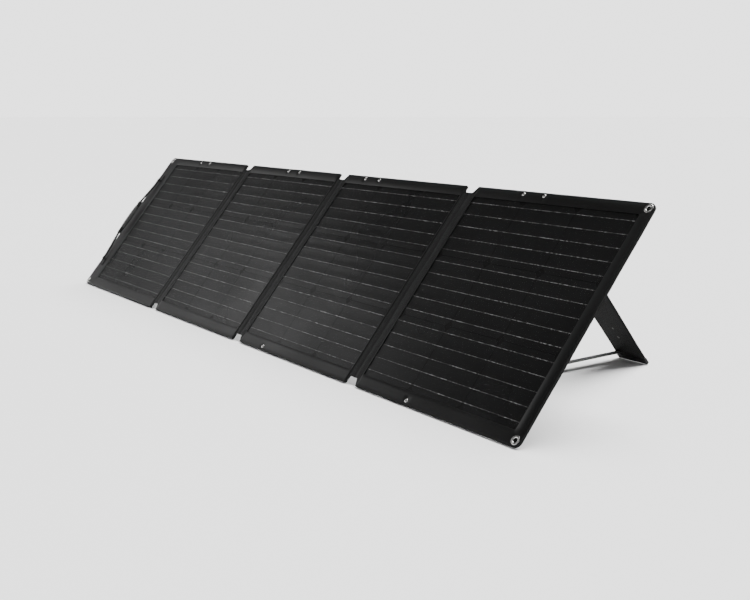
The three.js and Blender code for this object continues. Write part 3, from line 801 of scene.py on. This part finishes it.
# --- fabric strips across the folds
def add_fold(k):
    """One strip of fabric over a fold, notched at both ends and creased along its middle."""
    left, right = f"strip_{k}_{k + 1}_left", f"strip_{k}_{k + 1}_right"
    mid = fold_u[k - 1]
    points, close = cad_points(left) - LOW, 0.01 * MM
    half = mid - points[:, 0].min() + 0.6 * MM
    depth = points[points[:, 0] > points[:, 0].max() - close][:, 1].min()  # of a notch
    floor = mid - points[np.abs(points[:, 1] - depth) < close][:, 0].min()  # half its floor
    v0, v1 = points[:, 1].min(), points[:, 1].max()
    loop = [(mid - floor, depth), (mid + floor, depth), (mid + half, v0), (mid + half, v1),
            (mid + floor, HEIGHT - depth), (mid - floor, HEIGHT - depth), (mid - half, v1), (mid - half, v0)]
    pucker = waves(90 + k, 10, 0.05, 0.13 * MM, (1.6, 0.5))
    wander = waves(95 + k, 4, 0.25, 1.5 * MM)

    def crease(u, v):
        fade = np.clip((half - np.abs(u - mid)) / (5 * MM), 0, 1)
        valley = 0.85 * MM * np.exp(-((u - mid - wander(u * 0, v)) / (3.2 * MM)) ** 2)
        side = 0.2 * MM * np.exp(-((np.abs(u - mid) - 11 * MM) / (2.5 * MM)) ** 2)
        return fade * (pucker(u, v) + side) - valley

    strip = Soup()
    strip.cloth(loop, [], STRIP_W, THICK - 0.6 * MM, r=0.35 * MM, spacing=3.6 * MM, front=crease,
                back=lambda u, v: -crease(u, v))
    piece = strip.make(f"fold_strip_{k}_{k + 1}", FOLD)
    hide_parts(left, right)
    panel(k)
    panel(k + 1)
    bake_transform(piece)


for k in range(1, SECTIONS + 1):
    add_border(k)
    add_film(k)
    add_cells(k)
    add_back(k)
    add_fasteners(k)
for k in range(1, SECTIONS):
    add_fold(k)


# --- kickstands
def stand_frame(n):
    """Row frame of a stand: x along the panel, y from the foot up to the fold, z on the panel's side."""
    pivot = Vector(joints[f"stand_{n}_fold"]["pos_m"])
    foot = Vector(np.mean([v.co for v in frame["nodes"][f"stand_{n}_foot"].data.vertices], axis=0))
    foot.x = pivot.x
    y = (pivot - foot).normalized()
    x = Vector((1, 0, 0))
    z = x.cross(y)
    return Matrix((*zip(x, y, z, pivot), (0, 0, 0, 1)))


def stand_span(node, matrix):
    back = matrix.inverted()
    points = np.array([back @ v.co for v in frame["nodes"][node].data.vertices])
    return points.min(axis=0), points.max(axis=0)


def add_stand(n):
    """Sewn sleeve, rubber foot and rivets, all narrower at the foot."""
    matrix = stand_frame(n)
    low, high = stand_span(f"stand_{n}_sleeve", matrix)
    foot_low, foot_high = stand_span(f"stand_{n}_foot", matrix)
    half, body = high[2], f"stand_{n}"
    lean = atan2(matrix[2][1], matrix[1][1])
    weave = woven(f"stand_weave_{n}", 0.005, thread=0.7, rotation=lean, depth=0.3)

    def outline_of(y0, y1, d=0.0):
        a, b = (STAND_TOP + (STAND_FOOT - STAND_TOP) * (y / foot_low[1]) - d for y in (y0, y1))
        return [(-a, y0), (a, y0), (b, y1), (-b, y1)]

    slack, drawn_in = waves(200 + n, 10, 0.09, 0.3 * MM), 0.3 * MM
    sleeve = Soup()
    sleeve.cloth(outline_of(low[1], half), [], -half, half, r=half * 0.98, spacing=8 * MM, steps=5,
                 front=lambda u, v: slack(u, v) - drawn_in, back=lambda u, v: slack(v, u) - drawn_in)
    ready(sleeve.make(f"stand_{n}_fabric", weave, matrix=matrix), body, "cover_fabric", f"stand_{n}_sleeve")
    rows = Soup()
    for side in (-1, 1):
        for d in (5 * MM, 8 * MM):
            stitches(outline_of(low[1] + 4 * MM, -9 * MM, d), side * (half - 0.15 * MM), rows, normal=side)
    ready(rows.make(f"stand_{n}_stitches", THREAD, matrix=matrix), body, "cover_fabric")
    cap = Soup()
    cap.cloth(outline_of(foot_low[1], foot_high[1]), [], foot_low[2], foot_high[2],
              r=1.4 * MM, spacing=10 * MM, steps=4)
    ready(cap.make(f"stand_{n}_rubber", RUBBER, matrix=matrix), body, "rubber", f"stand_{n}_foot")
    heads = Soup()
    for y in STAND_RIVETS:
        for side in (-1, 1):
            rim, foot = side * (half - 0.4 * MM), side * (half - 1.2 * MM)
            heads.put(*lathe(dome(3.2 * MM, rim, side * 1.2 * MM, foot, 7), 0, y))
    ready(heads.make(f"stand_{n}_rivets", DARK_METAL, matrix=matrix), body, "plated_metal")
    paint(f"stand_{n}_board", BOARD)


def strap_along(path, width, thick, name, material, middle):
    """A flat strap along a path of (y, z) points in the row frame, centred on x = middle."""
    path = [np.array(p, float) for p in path]
    rings = []
    for i, p in enumerate(path):
        a, b = path[max(0, i - 1)], path[min(len(path) - 1, i + 1)]
        d = (b - a) / norm(b - a)
        up = np.array([-d[1], d[0]])
        rings.append([(x * width / 2, *(p + up * h * thick / 2)) for x, h in STRAP_SECTION])
    return new_object(name, *loft(rings), [material], Matrix.Translation((middle, 0, 0)))


def smooth(points, steps=6):
    """A smooth curve through points of (y, z)."""
    fine = []
    for i in range(len(points) - 1):
        p0, p1 = points[max(0, i - 1)], points[i]
        p2, p3 = points[i + 1], points[min(len(points) - 1, i + 2)]
        for t in np.linspace(0, 1, steps, False):
            fine.append(tuple(0.5 * (2 * p1[c] + (p2[c] - p0[c]) * t
                                     + (2 * p0[c] - 5 * p1[c] + 4 * p2[c] - p3[c]) * t * t
                                     + (3 * p1[c] - p0[c] - 3 * p2[c] + p3[c]) * t ** 3) for c in (0, 1)))
    return fine + [points[-1]]


def add_fold_flap(n):
    """Fabric hinge that runs from the section's back on to the stand's outer face."""
    local = stand_frame(n)
    pivot = Vector(joints[f"stand_{n}_fold"]["pos_m"])
    v, back = (to_row.inverted() @ pivot).y, span(f"back_cover_{n}")[0][2]
    out = -stand_span(f"stand_{n}_sleeve", local)[1][2] - 0.45 * MM
    first = [row(pivot.x - LOW[0], v + up * MM, back - off * MM)
             for up, off in ((13, 0.45), (9, 0.5), (6, 0.7))]
    last = [local @ Vector((0, y * MM, out)) for y in (-6, -12, -20, -30, -42, -44)]
    path = smooth([(p.y, p.z) for p in first + last])
    width, length = 96 * MM, sum(dist(p, q) for p, q in zip(path, path[1:]))
    piece = strap_along(path, width, 0.8 * MM, f"stand_{n}_flap", BACK, pivot.x)
    panel(n)
    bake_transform(piece)


def add_tether(n):
    """Webbing strap from the back cover's lower edge to the stand's foot, taut when the stand is open.

    It is made in lengths end to end.
    """
    points = np.array([v.co for v in frame["nodes"][f"stand_{n}_tether"].data.vertices])
    x0, x1 = points[:, 0].min(), points[:, 0].max()
    near = points[points[:, 1] < points[:, 1].min() + 8 * MM][:, 1:].mean(axis=0)
    far = points[points[:, 1] > points[:, 1].max() - 8 * MM][:, 1:].mean(axis=0)
    hinge = np.array(joints[f"stand_{n}_fold"]["pos_m"][1:])

    def along(t):
        return near + (far - near) * t

    def turned(t):
        a, b = near - hinge, along(t) - hinge
        return acos(min(1.0, a @ b / norm(a) / norm(b)))

    def when(share):
        """Where a smooth step from 0 to 1 reaches this share."""
        return 0.5 - sin(asin(1 - 2 * share) / 3)

    ends = (0.0, 0.05, 0.25, 0.75, 0.95, 1.0)
    for i, (a, b) in enumerate(zip(ends, ends[1:])):
        t0, t1 = when(turned(a) / turned(1)), when(min(1.0, turned(b) / turned(1)))
        path = [along(t) for t in np.linspace(a, b, 25)]
        piece = strap_along(path, x1 - x0, 1.4 * MM, f"stand_{n}_strap_{i + 1}", TETHER, (x0 + x1) / 2)
        if i == 2:
            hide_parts(f"stand_{n}_tether")
        panel(n)
        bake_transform(piece)


# --- carrying handle
def tube(name, sections, u, material, segments=36, powers=(2 / 2.6, 2 / 2.6)):
    """Rounded-box body along v, from sections of (v, w, half across u, half across w)."""
    rings = []
    for v, w, a, b in sections:
        ring = []
        for t in angles(segments):
            c, s = cos(t), sin(t)
            ring.append((u + a * copysign(abs(c) ** powers[0], c), v,
                         w - b * copysign(abs(s) ** powers[1], s)))
        rings.append(ring)
    return new_object(name, *loft(rings), [material])


def add_handle():
    """Ribbed grip, its core, the strap through them and the screws of its mounts."""
    u, mid, grip_w = centre("handle_grip")
    low, high = span("handle_grip")
    half_u, _, half_w = (high - low) / 2
    length, ribs, depth, end = high[1] - low[1], 22, 0.55 * MM, 5 * MM
    sections = []
    for t in (i / (ribs * 8) for i in range(ribs * 8 + 1)):
        edge = min(t, 1 - t) * length
        rib = depth * (0.5 - 0.5 * cos(tau * ribs * t)) if edge > end else depth
        swell, grow = 0.9 + 0.1 * sin(pi * t), 0.8 + 0.2 * round_end(edge, end)
        sections.append((low[1] + t * length, grip_w, half_u * swell * grow - rib * 0.8,
                         half_w * swell * grow - rib * 0.8))
    ready(tube("grip_sleeve", sections, u, GRIP), "handle", "grip", "handle_grip")

    low, high = span("handle_core")
    half_u, core_half, half_w = (high - low) / 2
    length = high[1] - low[1]
    sections = []
    for t in (i / 60 for i in range(61)):
        edge = min(t, 1 - t) * length
        grow = 0.86 + 0.14 * round_end(edge, 3 * MM)
        groove = 0.5 * MM if 7 * MM < edge < 9 * MM or 12 * MM < edge < 14 * MM else 0
        sections.append((low[1] + t * length, grip_w, half_u * grow - groove, half_w * grow - groove))
    ready(tube("grip_core", sections, u, RUBBER), "handle", "rubber", "handle_core")

    # strap: level at each pivot, then up to the core
    low, high = span("handle_strap")
    half_u, reach, _ = (high - low) / 2
    pivot_w = (to_row.inverted() @ Vector(joints["handle_swing"]["pos_m"])).z
    level, bend = reach - 12 * MM, core_half + 2 * MM
    sections = []
    for d in (-reach + 2 * reach * i / 120 for i in range(121)):
        t = min(1.0, max(0.0, (level - abs(d)) / (level - bend)))
        rise = 0.5 * t + 0.5 * (t * t * (3 - 2 * t))
        edge = min(1.0, (reach - abs(d)) / (3 * MM))
        sections.append((mid + d, pivot_w + (grip_w - pivot_w) * rise, half_u, (1.9 + 0.7 * edge) * MM))
    ready(tube("handle_webbing", sections, u, STRAP, 20, (0.5, 0.7)), "handle", "webbing", "handle_strap")
    for side, name in ((-1, "handle_mount_lower"), (1, "handle_mount_upper")):
        paint(name, PLASTIC)
        screws = Soup()
        for du in (-7 * MM, 7 * MM):
            head = dome(2.4 * MM, THICK + 1.6 * MM, 0.9 * MM, THICK + 1.2 * MM)
            screws.put(*lathe(head, u + du, mid + side * (reach + 22 * MM)))
        ready(screws.make(f"{name}_screws", DARK_METAL), panel(1), "plated_metal")


# --- junction box
def add_junction_box():
    """Lid with a raised, ribbed middle and four screws, and the gland's nut."""
    (u0, v0, outer), (u1, v1, _) = span("junction_box_lid")
    base_low, base_high = span("junction_box_base")
    paint("junction_box_base", PLASTIC)
    lid = Soup()
    lid.slab(u0, u1, v0, v1, 4 * MM, outer + 0.5 * MM, base_low[2] - 0.3 * MM, 0.7 * MM)
    lid.slab(u0 + 11 * MM, u1 - 11 * MM, v0 + 9 * MM, v1 - 9 * MM, 3 * MM, outer, outer + 1.5 * MM, 0.45 * MM)
    for i in range(7):
        u = u0 + 22 * MM + i * (u1 - u0 - 44 * MM) / 6
        lid.slab(u - 1.2 * MM, u + 1.2 * MM, v0 + 15 * MM, v1 - 15 * MM, 1.1 * MM,
                 outer - 0.5 * MM, outer + 0.6 * MM, 0.4 * MM, steps=3)
    ready(lid.make("junction_lid", PLASTIC), panel(1), "black_plastic", "junction_box_lid")
    screws, margin, rim = Soup(), 5.5 * MM, outer + 0.5 * MM
    for u in (u0 + margin, u1 - margin):
        for v in (v0 + margin, v1 - margin):
            screws.put(*lathe(dome(2.6 * MM, rim, -0.8 * MM, rim + 0.4 * MM), u, v))
    ready(screws.make("junction_screws", DARK_METAL), panel(1), "plated_metal")

    # gland: turned about v, with grip ribs round its nut
    u, wall, w = centre("cable_gland")[0], base_low[1], (base_low[2] + base_high[2]) / 2
    rings = []
    for i, t in enumerate(angles(72)):
        ring = []
        for r, h in GLAND:
            groove = 0.35 * MM if i % 4 < 2 and r > 6.1 and -12.5 < h < -4 else 0.0
            radius = r * MM - groove
            ring.append((u + radius * cos(t), wall + h * MM, w - radius * sin(t)))
        rings.append(ring)
    ready(new_object("gland", *skin(rings, closed=True), [PLASTIC]), panel(1), "black_plastic", "cable_gland")


# --- zipped pouch
def add_pouch():
    """Slack pouch with piping round it, and its zip: tape, stitches, teeth and slider."""
    low, high = span("pouch")
    (u0, v0, _), (u1, v1, _) = low, high
    slack = waves(300, 12, 0.07, 0.9 * MM)
    fine = waves(301, 12, 0.022, 0.25 * MM)
    middle, zip_v = (v0 + v1) / 2, centre("zip_tape")[1]

    def face(u, v):
        fade = np.clip(to_edge(u, v, low, high) / (30 * MM), 0, 1)
        sag = -5.5 * MM * np.clip((v - middle) / (v1 - middle), 0, 1) ** 1.5 - 3.2 * MM * (1 - fade) ** 2
        at_zip = np.clip(np.abs(v - zip_v) / (14 * MM), 0, 1)
        return sag * at_zip * 0.6 + fade * (slack(u, v) + fine(u, v)) * at_zip - 0.9 * MM

    body = Soup()
    body.cloth(rounded(u0, u1, v0, v1, 18 * MM, 8), [], low[2], high[2], r=7 * MM, spacing=5 * MM,
               back=face, steps=6)
    ready(body.make("pouch_fabric", BACK), panel(1), "cover_fabric", "pouch")
    inward, radius = 1.6 * MM, 1.3 * MM
    loop = resample(rounded(u0 + inward, u1 - inward, v0 + inward, v1 - inward, 17 * MM, 12), 4 * MM)
    rings = []
    for i, p in enumerate(loop):
        d = loop[(i + 1) % len(loop)] - loop[i - 1]
        d /= norm(d)
        rings.append([(p[0] - d[1] * radius * cos(t), p[1] + d[0] * radius * cos(t),
                       -6.4 * MM + radius * sin(t)) for t in np.linspace(0, tau, 10, False)])
    piping = new_object("pouch_piping", *skin(rings, closed=True), [THREAD])
    ready(piping, panel(1), "cover_fabric")

    (u0, v0, back), (u1, v1, inner) = span("zip_tape")
    tape = Soup()
    tape.cloth(rounded(u0, u1, v0, v1, 1 * MM), [], back + 0.2 * MM, inner + 0.9 * MM,
               r=0.3 * MM, spacing=6 * MM, back=waves(302, 6, 0.05, 0.12 * MM))
    ready(tape.make("zip_cloth", TAPE), panel(1), "webbing", "zip_tape")
    rows = Soup()
    for v in (v0 + 1.5 * MM, v1 - 1.5 * MM):
        stitches([(u0 + 2 * MM, v), (u1 - 2 * MM, v)], back + 0.2 * MM, rows, normal=-1, closed=False)
    ready(rows.make("zip_stitches", THREAD), panel(1), "cover_fabric")
    teeth, pitch, side = Soup(), 1.6 * MM, -1
    u = u0 + 3 * MM
    while u < u1 - 3 * MM:
        v = zip_v + side * 0.7 * MM
        teeth.slab(u - 0.65 * MM, u + 0.65 * MM, v - 1.5 * MM, v + 1.5 * MM, 0.4 * MM, back - 0.3 * MM,
                   back + 0.4 * MM, 0.2 * MM, spacing=5 * MM, steps=2, corner_steps=2)
        u, side = u + pitch, -side
    ready(teeth.make("zip_teeth", PLASTIC), panel(1), "black_plastic")

    # slider: wedge body, bridge and a pull tab with two holes
    u, v = centre("zip_slider")[0], zip_v
    wedge = [(u + x * MM, v + y * MM) for x, y in ((-5, -2.6), (3, -4.3), (5, -3), (5, 3), (3, 4.3), (-5, 2.6))]
    slider = Soup()
    slider.cloth(wedge, [], back - 2.5 * MM, back - 0.35 * MM, r=0.6 * MM, spacing=4 * MM, steps=4)
    slider.slab(u - 1.4 * MM, u + 1.4 * MM, v - 2.6 * MM, v + 2.2 * MM, 0.8 * MM, back - 4.1 * MM,
                back - 2.4 * MM, 0.5 * MM, spacing=4 * MM, steps=3)
    holes = [rounded(u - 1.6 * MM, u + 1.6 * MM, v + y0 * MM, v + y1 * MM, 1.5 * MM)[::-1]
             for y0, y1 in ((-8, -2), (-26, -17))]
    slider.slab(u - 3.4 * MM, u + 3.4 * MM, v - 29.5 * MM, v + 0.8 * MM, 3 * MM, back - 5.1 * MM,
                back - 4.0 * MM, 0.35 * MM, spacing=3 * MM, steps=3, holes=holes)
    ready(slider.make("zip_pull", METAL), "zip_slider", "plated_metal", "zip_slider")


for n in (1, 4):
    add_stand(n)
    add_fold_flap(n)
    add_tether(n)
add_handle()
add_junction_box()
add_pouch()


# --- floor and light
def add_floor():
    size, drop = 60, 0.2 * MM
    corners = [(-size, -size, -drop), (size, -size, -drop), (size, size, -drop), (-size, size, -drop)]
    new_object("floor", corners, [(0, 1, 2, 3)], [floor_paper()], Matrix())


def add_lamp(name, kind, direction, energy):
    """A light that shines along direction and isn't seen itself."""
    data = bpy.data.lights.new(name, kind)
    data.energy = energy
    lamp = link(name, data)
    lamp.visible_camera = False
    lamp.rotation_mode = "QUATERNION"
    lamp.rotation_quaternion = direction.to_track_quat("-Z", "Y")
    return lamp


def add_softbox():
    """Square light that the upper left of the panel mirrors towards the camera."""
    location, target = Vector((-5.0, -2.05, 2.75)), Vector((0, 0, 0.2))
    lamp = add_lamp("softbox", "AREA", target - location, 10)
    lamp.location = location
    lamp.data.shape, lamp.data.size, lamp.data.size_y = "RECTANGLE", 1.3, 1.3


def add_world():
    """Bright at the horizon and dimmer overhead, like a lit studio wall: (height, level) from 0 to 1."""
    stops = ((0.0, 1.0), (0.11, 1.0), (0.22, 0.12), (0.50, 0.055), (0.75, 0.045), (1.0, 0.10))
    world = bpy.data.worlds.new("studio")
    bpy.context.scene.world = world
    world.use_nodes = True
    tree = world.node_tree
    split, ramp = tree.nodes.new("ShaderNodeSeparateXYZ"), tree.nodes.new("ShaderNodeValToRGB")
    tree.links.new(tree.nodes.new("ShaderNodeTexCoord").outputs["Generated"], split.inputs[0])
    tree.links.new(split.outputs[2], ramp.inputs[0])
    while len(ramp.color_ramp.elements) < len(stops):
        ramp.color_ramp.elements.new(0.5)
    for element, (position, level) in zip(ramp.color_ramp.elements, stops):
        element.position, element.color = position, grey(level)
    background = tree.nodes["Background"]
    tree.links.new(ramp.outputs[0], background.inputs["Color"])
    background.inputs["Strength"].default_value = 2.6


def add_sun():
    """Wide soft light from above and a little behind."""
    add_lamp("sun", "SUN", Vector((0.1, -0.5, -0.87)), 9.5).data.angle = radians(50)


add_floor()
add_world()
add_sun()
add_softbox()
